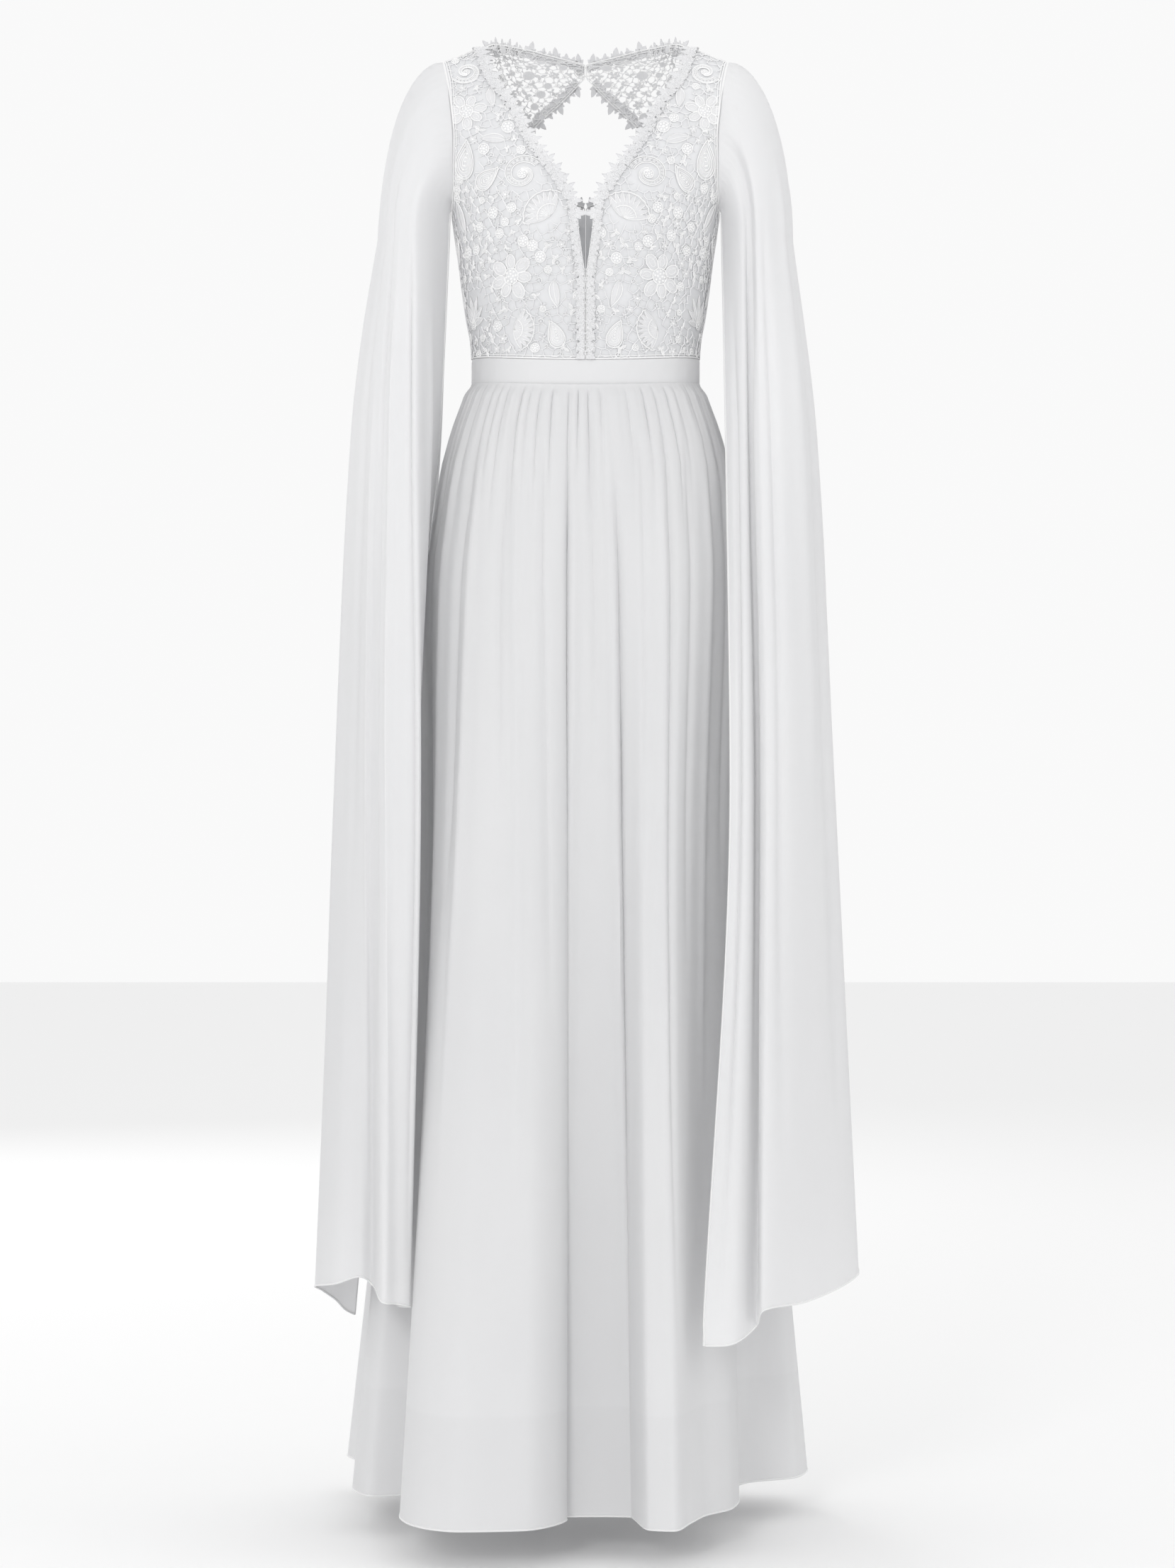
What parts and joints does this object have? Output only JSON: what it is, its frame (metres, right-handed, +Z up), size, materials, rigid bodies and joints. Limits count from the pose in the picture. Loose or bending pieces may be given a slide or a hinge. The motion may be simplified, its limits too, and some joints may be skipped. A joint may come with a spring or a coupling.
{
  "type": "evening dress",
  "caption": "Floor-length evening dress with a lace bodice, V neck, keyhole back, plain waistband, gathered chiffon skirt and long open cape sleeves.",
  "frame": {"origin": "midway between the tops of the two shoulder seams, where a hanger or a wearer's shoulders hold the dress", "axes": "+Z up, -Y towards the dress's front, +X towards the wearer's left"},
  "size_m": [0.5648, 0.4892, 1.5229],
  "materials": {
    "lace": "matte corded lace",
    "lining": "smooth plain weave",
    "band": "smooth chiffon over interfacing",
    "chiffon": "matte sheer crepe weave",
    "button": "cloth covered"
  },
  "bodies": {
    "root": {"lace_front_left": "lace", "lace_front_right": "lace", "lace_back_left": "lace", "lace_back_right": "lace", "neck_trim_left": "lace", "neck_trim_right": "lace", "collar_trim_left": "lace", "collar_trim_right": "lace", "keyhole_trim_left": "lace", "keyhole_trim_right": "lace", "lining_front_left": "lining", "lining_front_right": "lining", "lining_back_left": "lining", "lining_back_right": "lining", "skirt_lining_front": "lining", "skirt_lining_back": "lining", "waistband_front": "band", "waistband_back_left": "band", "waistband_back_right": "band", "skirt_front": "chiffon", "skirt_back_left": "chiffon", "skirt_back_right": "chiffon", "sleeve_left_front": "chiffon", "sleeve_left_back": "chiffon", "sleeve_right_front": "chiffon", "sleeve_right_back": "chiffon", "nape_button": "button", "nape_loop": "button"}
  },
  "joints": []
}
